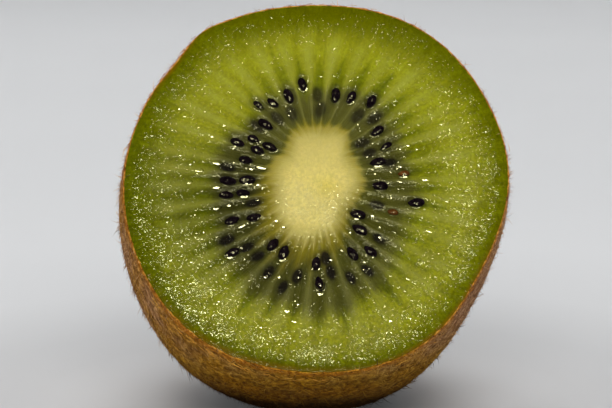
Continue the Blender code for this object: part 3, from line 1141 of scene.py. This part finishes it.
def round_seed(place, around, distance):
    """Points round a seed at these angles, this far out from its edge."""
    seed_x, seed_y, turn, size, _ = place
    along = (SEED_LENGTH * size / 2 + distance) * np.cos(around)
    aside = (SEED_WIDTH * size / 2 + distance) * np.sin(around)
    x = seed_x + along * math.cos(turn) - aside * math.sin(turn)
    y = seed_y + along * math.sin(turn) + aside * math.cos(turn)
    return x, y


def make_seed_ring(place, number, rng):
    """Juice that stands against one seed's edge. It is sunk out of sight on the side that stays dry."""
    deselect()
    bpy.ops.mesh.primitive_torus_add(
        major_segments=RING_SIDES,
        minor_segments=len(RING_PROFILE),
        major_radius=1.0,
        minor_radius=0.2,
    )
    ring = named("seed_ring")
    points = mesh_points(ring.data)
    around = np.arctan2(points[:, 1], points[:, 0])
    across = np.arctan2(points[:, 2], np.hypot(points[:, 0], points[:, 1]) - 1.0) % math.tau
    step = np.round(across / math.tau * len(RING_PROFILE)).astype(int) % len(RING_PROFILE)
    out, rise = (np.array(side)[step] * MM for side in zip(*RING_PROFILE))
    x, y = round_seed(place, around, out)
    outer_x, outer_y = round_seed(place, around, RING_REACH)
    ground = face_height(Cut(outer_x, outer_y), outer_x, outer_y)
    uneven = waves(np.stack([outer_x, outer_y, 0 * x], 1), 0.8, number)
    seed_x, seed_y = place[:2]
    way = math.degrees(math.atan2(seed_y, seed_x))
    fill = np.clip(rng.uniform(-0.35, 0.85) + 0.9 * uneven, 0.0, 1.15) * (1 - 0.75 * bump_at(way, 95, 60))
    lift = (y - seed_y) / np.hypot(x - seed_x, y - seed_y)
    sunk = smooth(-0.5, 0.1, lift - rng.uniform(-0.25, 0.25) + 0.3 * uneven)
    height = ground + rise * np.where(rise > 0, fill, 1.0) - RING_DEPTH * sunk
    set_points(ring.data, from_face(np.stack([x, y, height], 1)))
    store_masks(ring.data, x, y, over_seeds=True)
    return ring


def make_seed_rings():
    """Juice that stands against the edges of the seeds and climbs them a little."""
    rng = np.random.default_rng(37)
    rings = [make_seed_ring(place, 38 + i, rng) for i, place in enumerate(SEEDS) if place[4] != SUNK]
    pick(*rings)
    bpy.ops.object.join()
    joined = named("seed_rings")
    face_outwards(joined)
    shade_smooth(joined)
    return joined


# ---------------------------------------------------------------- hairs
FELT_HAIRS = 17000
STANDING_HAIRS = 12000
RIM_TUFTS = 56
TUFTED_HAIRS = 560
LOOSE_HAIRS = 240
STUBS = 46
HAIR_TURN = math.radians(58)
HAIR_ROOT = 0.03 * MM
HAIR_REACH = 1.3 * MM
OVER_FLOOR = 0.12 * MM
# Groups of the rim's fibres: (middle and spread in degrees, how many, and the share of loose ones).
FIBRE_GROUPS = (
    (238, 12, 190, 0.22),
    (268, 12, 60, 0.10),
    (137, 11, 80, 0.0),
    (190, 14, 40, 0.0),
    (0, 110, 220, 0.04),
)


def hair_pattern(name, length, thickness, bow):
    """One tapered hair standing up z, bowed towards +x, with its sizes in millimetres."""
    deselect()
    bpy.ops.mesh.primitive_cone_add(vertices=3, radius1=thickness * MM / 2, radius2=0.0, depth=length * MM)
    hair = named(name)
    cut_across(hair, -0.05 * length * MM)
    points = mesh_points(hair.data)
    points[:, 2] += length * MM / 2
    points[:, 0] += bow * MM * (points[:, 2] / (length * MM)) ** 2
    set_points(hair.data, points)
    return hair


def skin_samples(skin, count, rng):
    """Points spread evenly over the outside of the skin, and the normals there."""
    mesh = skin.data
    mesh.calc_loop_triangles()
    triangles = np.zeros(len(mesh.loop_triangles) * 3, np.int32)
    mesh.loop_triangles.foreach_get("vertices", triangles)
    corners = mesh_points(mesh)[triangles.reshape(-1, 3)]
    cross = np.cross(corners[:, 1] - corners[:, 0], corners[:, 2] - corners[:, 0])
    area = np.linalg.norm(cross, axis=1) / 2
    normal = cross / np.maximum(area[:, None] * 2, 1e-15)
    middle = corners.mean(1)
    heart = ORIGIN - OUT * 8 * MM
    facing = ((middle - heart) * normal).sum(1) > 0
    weight = area * facing * (middle[:, 2] > 0.3 * MM)
    chosen = rng.choice(len(area), count, p=weight / weight.sum())
    u, v = rng.random(count), rng.random(count)
    u, v = np.where(u + v > 1, 1 - u, u), np.where(u + v > 1, 1 - v, v)
    a, b, c = corners[chosen, 0], corners[chosen, 1], corners[chosen, 2]
    return a + (b - a) * u[:, None] + (c - a) * v[:, None], normal[chosen]


def between(first, second, angle):
    """The directions at this angle from first towards second."""
    return first * np.cos(angle)[:, None] + second * np.sin(angle)[:, None]


def hair_places(skin, count, seed, lift, spread, sizes, tufted=0.0):
    """Matrices and tones of hairs that lean back over the skin, with lift and spread in degrees."""
    rng = np.random.default_rng(seed)
    points, normal = skin_samples(skin, count, rng)
    back = unit(flattened(np.broadcast_to(-OUT, normal.shape), normal))
    swirl = waves(points, 2.2, 47, 2)
    turn = HAIR_TURN + math.radians(spread) * (1.5 * swirl + 0.55 * rng.normal(0, 1, count))
    rise = np.radians(rng.uniform(*lift, count))
    along = between(back, np.cross(normal, back), turn)
    direction = between(along, normal, rise)
    curl = rng.normal(0, 0.7, count)
    down = between(-normal, along, rise)
    bow = between(down, np.cross(direction, down), curl)
    size = rng.uniform(*sizes, count)
    size = size * (1 + tufted * smooth(0.10, 0.40, waves(points, 1.3, 49)))
    ways = [rows * size[:, None] for rows in (bow, np.cross(direction, bow), direction)]
    roots = points - normal * HAIR_ROOT
    local = to_face(points)
    radius = np.hypot(local[:, 0], local[:, 1])
    round_axis = np.arctan2(local[:, 1], local[:, 0]) * radius * 0.65
    clump = waves(np.stack([round_axis, local[:, 2], radius * 0.5], 1), 0.34, 48, 2)
    tones = np.clip(0.54 + 0.78 * clump + rng.normal(0, 0.12, count), 0, 1)
    tips = roots + ways[2] * HAIR_REACH
    over_floor = np.minimum(points[:, 2], tips[:, 2]) > OVER_FLOOR
    return place_matrices(*ways, roots)[over_floor], tones[over_floor]


def along_rim(angle, depth):
    """Points on the outside of the skin at these angles, this far behind the cut, and the ways there.

    The ways are outwards from the fruit's axis, and along the rim counterclockwise.
    """
    radius = rim_radius(angle)
    local = np.stack([radius * np.cos(angle), radius * np.sin(angle), -depth], 1)
    return from_face(local), in_plane(angle), in_plane(angle + math.pi / 2)


def fibre_places(points, direction, side, size):
    """Matrices for fibres that start at the points, lie along direction and bow towards side."""
    direction = unit(direction)
    bow = unit(flattened(side, direction))
    ways = (bow, np.cross(direction, bow), direction)
    return place_matrices(*(rows * size[:, None] for rows in ways), points)


def rim_hair_places():
    """Matrices and tones of thin loose hairs that stand out from the rim in tufts."""
    rng = np.random.default_rng(53)
    tufts = rng.uniform(0, math.tau, RIM_TUFTS)
    tufted = rng.choice(tufts, TUFTED_HAIRS) + rng.normal(0, 0.015, TUFTED_HAIRS)
    angle = np.concatenate([tufted, rng.uniform(0, math.tau, LOOSE_HAIRS)])
    count = len(angle)
    points, outward, along = along_rim(angle, rng.uniform(0.25, 2.2, count) * MM)
    lean = rng.normal(0, 0.45, count)[:, None]
    back = rng.uniform(-0.05, 0.9, count)[:, None]
    size = rng.uniform(0.35, 1.0, count) ** 1.3
    side = along * rng.choice((-1, 1), count)[:, None]
    places = fibre_places(points - outward * 0.05 * MM, outward + along * lean - OUT * back, side, size)
    tones = np.clip(rng.normal(0.40, 0.2, count), 0, 1)
    above = points[:, 2] > 2.5 * MM
    return places[above], tones[above]


def make_rim_fibres():
    """Golden fibres that lie along the cut edge of the skin, most of them on the lower left."""
    rng = np.random.default_rng(59)
    pattern = hair_pattern("long_fibre", 2.5, 0.110, 0.60)
    degrees = np.concatenate([rng.normal(*group[:3]) for group in FIBRE_GROUPS])
    loose = np.concatenate([rng.random(number) < share for _, _, number, share in FIBRE_GROUPS])
    count = len(degrees)
    depth = np.where(loose, rng.uniform(0.2, 1.5, count), rng.uniform(-0.22, 0.55, count))
    points, outward, along = along_rim(np.radians(degrees), depth * MM)
    over_flesh = swell(degrees, ((238, 20, 1.0), (140, 16, 0.7)))
    inward = rng.uniform(-0.45, 0.16, count) * over_flesh + 0.10
    points = points + outward * (np.where(loose, 0.45, inward) * MM)[:, None]
    lean = rng.choice((-1, 1, 1, 1), count)[:, None]
    back = np.where(loose, rng.uniform(-0.5, 0.7, count), rng.uniform(0.0, 0.5, count))[:, None]
    direction = along * lean - OUT * back + outward * rng.uniform(0.02, 0.24, count)[:, None]
    size = np.where(loose, rng.uniform(0.45, 0.9, count), rng.uniform(0.25, 0.7, count))
    places = fibre_places(points, direction, outward * -0.6 - OUT, size)
    tones = np.where(loose, rng.uniform(0.75, 1.0, count), rng.uniform(0.1, 0.6, count))
    fibres = many("rim_fibres", pattern, places, tones)
    remove(pattern)
    return fibres


def make_blossom_end():
    """The withered remains of the flower: a ring of short dry stubs round the tip."""
    rng = np.random.default_rng(67)
    tip = cad_points[(cad_points @ OUT).argmin()]
    pattern = hair_pattern("dry_stub", 1.5, 0.34, 0.30)
    outward = in_plane(rng.uniform(0, math.tau, STUBS))
    points = tip + outward * rng.uniform(0.1, 2.1, STUBS)[:, None] * MM + OUT * 0.35 * MM
    direction = -OUT + outward * rng.uniform(0.1, 1.3, STUBS)[:, None]
    places = fibre_places(points, direction, -outward, rng.uniform(0.45, 1.0, STUBS))
    stubs = many("blossom_end", pattern, places, rng.uniform(0.0, 0.5, STUBS))
    remove(pattern)
    return stubs


def make_hairs(skin):
    flat = hair_pattern("flat_hair", 0.70, 0.088, 0.15)
    tall = hair_pattern("tall_hair", 1.10, 0.075, 0.38)
    thin = hair_pattern("thin_hair", 1.45, 0.048, 0.42)
    pieces = []
    for i, name in enumerate(("felt_under", "felt_over")):
        felt = hair_places(skin, FELT_HAIRS, 41 + i, (2, 24), 75, (0.5, 1.2))
        pieces.append(many(name, flat, *felt))
    standing = hair_places(skin, STANDING_HAIRS, 45, (14, 66), 90, (0.25, 0.95), 0.65)
    pieces.append(many("standing_hairs", tall, *standing))
    pieces.append(many("rim_hairs", thin, *rim_hair_places()))
    remove(flat, tall, thin)
    return pieces


def fibre_material():
    paint = Paint("golden_fibre")
    colour = paint.ramp(
        "tone",
        (0.3, (0.40, 0.12, 0.004)),
        (0.7, (0.74, 0.30, 0.02)),
        (1.0, (0.98, 0.54, 0.08)),
    )
    colour = paint.mottle(0.6, colour, paint.noise(1200, 2.0), (0.3, 0.75), (0.7, 1.2))
    return paint.finish(Base_Color=colour, Roughness=0.5, Specular_IOR_Level=0.1)


def dry_material():
    paint = Paint("dry_blossom")
    colour = paint.ramp(paint.noise(1500, 3.0), (0.3, (0.030, 0.014, 0.005)), (0.7, (0.16, 0.085, 0.030)))
    relief = paint.bump(paint.noise(4000, 2.0), 0.0001)
    return paint.finish(Base_Color=colour, Roughness=0.9, Specular_IOR_Level=0.1, Normal=relief)


def hair_material():
    paint = Paint("brown_hair")
    colour = brown(
        paint,
        "tone",
        (0.0, 0.35, 0.70, 1.0),
        ((0.050, 0.013, 0.001), (0.22, 0.092, 0.010), (0.565, 0.315, 0.082), (0.69, 0.43, 0.18)),
        ((0.050, 0.015, 0.006), (0.19, 0.082, 0.034), (0.54, 0.31, 0.150), (0.72, 0.46, 0.26)),
    )
    colour = paint.mottle(0.6, colour, paint.noise(900, 2.0), (0.3, 0.7), (0.7, 1.25))
    # Painted shade near the resting spot and painted light higher up, set by height over the floor.
    return paint.finish(Base_Color=painted_shade_by_height(paint, colour), Roughness=0.6, Specular_IOR_Level=0.10)


# ---------------------------------------------------------------- floor, lights and camera
STAGE_RADIUS = 1.5
STAGE_HEIGHT = 0.9
STAGE_BEND = 0.30
# The floor's grey, with painted shadow darker round the fruit and painted light paler further off: (distance
# from the spot where the fruit rests, shade).
PAINTED_FLOOR_SHADOW = (
    (0.02, 0.74),
    (0.040, 0.635),
    (0.052, 0.635),
    (0.078, 0.725),
    (0.12, 0.78),
    (0.22, 0.79),
    (0.5, 0.855),
)
# Soft boxes: (name, azimuth and elevation in degrees, distance, width, height, watts). The azimuth is from
# the front, counterclockwise seen from above.
LIGHTS = (
    ("key", -3, 40, 0.55, 0.30, 0.20, 1.25),
    ("glint", -3, 23, 0.50, 0.34, 0.14, 12.5),
    ("left_fill", -74, 16, 0.60, 0.25, 0.30, 0.33),
    ("left_rear", -112, 18, 0.60, 0.25, 0.30, 0.30),
    ("right_fill", 70, 16, 0.60, 0.25, 0.30, 0.4),
    ("overhead", 180, 84, 0.80, 0.60, 0.60, 2.1),
    ("back_light", 180, 48, 1.00, 1.40, 0.70, 2.2),
)
BACK_LIGHT_AIM = (0.0, 0.6, 0.0)
GLINT_COLOUR = (1.0, 0.96, 0.50)
CAMERA_WAY = (-4.2, 10.1)
CAMERA_DISTANCE = 300 * MM
CAMERA_SHIFT = (-1.39 * MM, -3.03 * MM, 0)


def make_stage():
    deselect()
    bpy.ops.mesh.primitive_circle_add(vertices=96, radius=STAGE_RADIUS, fill_type="NGON")
    stage = named("backdrop")
    extrude_border(stage, (0, 0, STAGE_HEIGHT))
    edit_select(stage, edges=lambda item: all(vert.co.z < 1e-4 for vert in item.verts))
    bpy.ops.mesh.bevel(offset=STAGE_BEND, segments=12)
    object_mode()
    face_outwards(stage, inside=True)
    shade_smooth(stage)
    paint = Paint("backdrop_with_painted_shadow")
    away = paint.node("ShaderNodeVectorMath", {0: paint.place}, operation="LENGTH")["Value"]
    clouds = paint.ramp(paint.noise(9, 2.0), (0.3, (0.963, 0.970, 0.978)), (0.7, (0.978, 0.985, 0.993)))
    # Painted shadow round the fruit and painted light further off, put into the floor's colour.
    floor_with_painted_shadow = paint.mottle(1.0, clouds, away, *PAINTED_FLOOR_SHADOW)
    stage.data.materials.append(paint.finish(Base_Color=floor_with_painted_shadow, Roughness=0.9, Specular_IOR_Level=0.0))
    stage.visible_glossy = False


def direction(azimuth, elevation):
    a, e = math.radians(azimuth), math.radians(elevation)
    return Vector((math.sin(a) * math.cos(e), -math.cos(a) * math.cos(e), math.sin(e)))


def make_lights():
    """Only the glint shows in the wet gloss, and it lights nothing that is matt."""
    for name, azimuth, elevation, distance, width, height, watts in LIGHTS:
        data = bpy.data.lights.new(name, "AREA")
        data.shape = "RECTANGLE"
        data.size = width
        data.size_y = height
        data.energy = watts
        light = add_piece(name, data)
        light.location = Vector(ORIGIN) + direction(azimuth, elevation) * distance
        aim = Vector(BACK_LIGHT_AIM if name == "back_light" else ORIGIN)
        light.rotation_euler = (light.location - aim).to_track_quat("Z", "Y").to_euler()
        light.visible_diffuse = name != "glint"
        light.visible_glossy = name == "glint"
        if name == "glint":
            data.color = GLINT_COLOUR
    world = bpy.data.worlds.new("studio")
    bpy.context.scene.world = world
    world.use_nodes = True
    background = world.node_tree.nodes["Background"]
    background.inputs["Color"].default_value = (1.0, 1.0, 1.0, 1.0)
    background.inputs["Strength"].default_value = 0.12
    world.cycles_visibility.glossy = False


def make_camera():
    data = bpy.data.cameras.new("camera")
    data.lens = 132.0
    data.sensor_width = 36.0
    camera = add_piece("camera", data)
    towards = direction(*CAMERA_WAY)
    turned = towards.to_track_quat("Z", "Y")
    camera.location = Vector(ORIGIN) + turned @ Vector(CAMERA_SHIFT) + towards * CAMERA_DISTANCE
    camera.rotation_euler = turned.to_euler()
    bpy.context.scene.camera = camera


def dress(piece, material):
    piece.data.materials.clear()
    piece.data.materials.append(material)
    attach(piece, "root")


def main():
    make_camera()
    make_lights()
    make_stage()
    bpy.context.scene.view_settings.view_transform = "Standard"

    flesh = make_flesh()
    dress(flesh, flesh_material())
    grain_finish = flesh_material("wet_grains", 1.60, 0.0)
    for piece in make_grains(flesh):
        dress(piece, grain_finish)
    skin = make_skin()
    dress(skin, skin_material())
    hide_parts("kiwi_half")
    seeds = make_seeds()
    dress(seeds, seed_material())
    dress(make_beads(flesh, seeds), flesh_material("clear_juice", 1.7, 0.0, 0.00006))
    dress(make_seed_rings(), flesh_material("seed_juice", 1.42, 0.0, 0.00003))
    hair = hair_material()
    for piece in make_hairs(skin):
        dress(piece, hair)
    dress(make_rim_fibres(), fibre_material())
    dress(make_blossom_end(), dry_material())


main()
deselect()
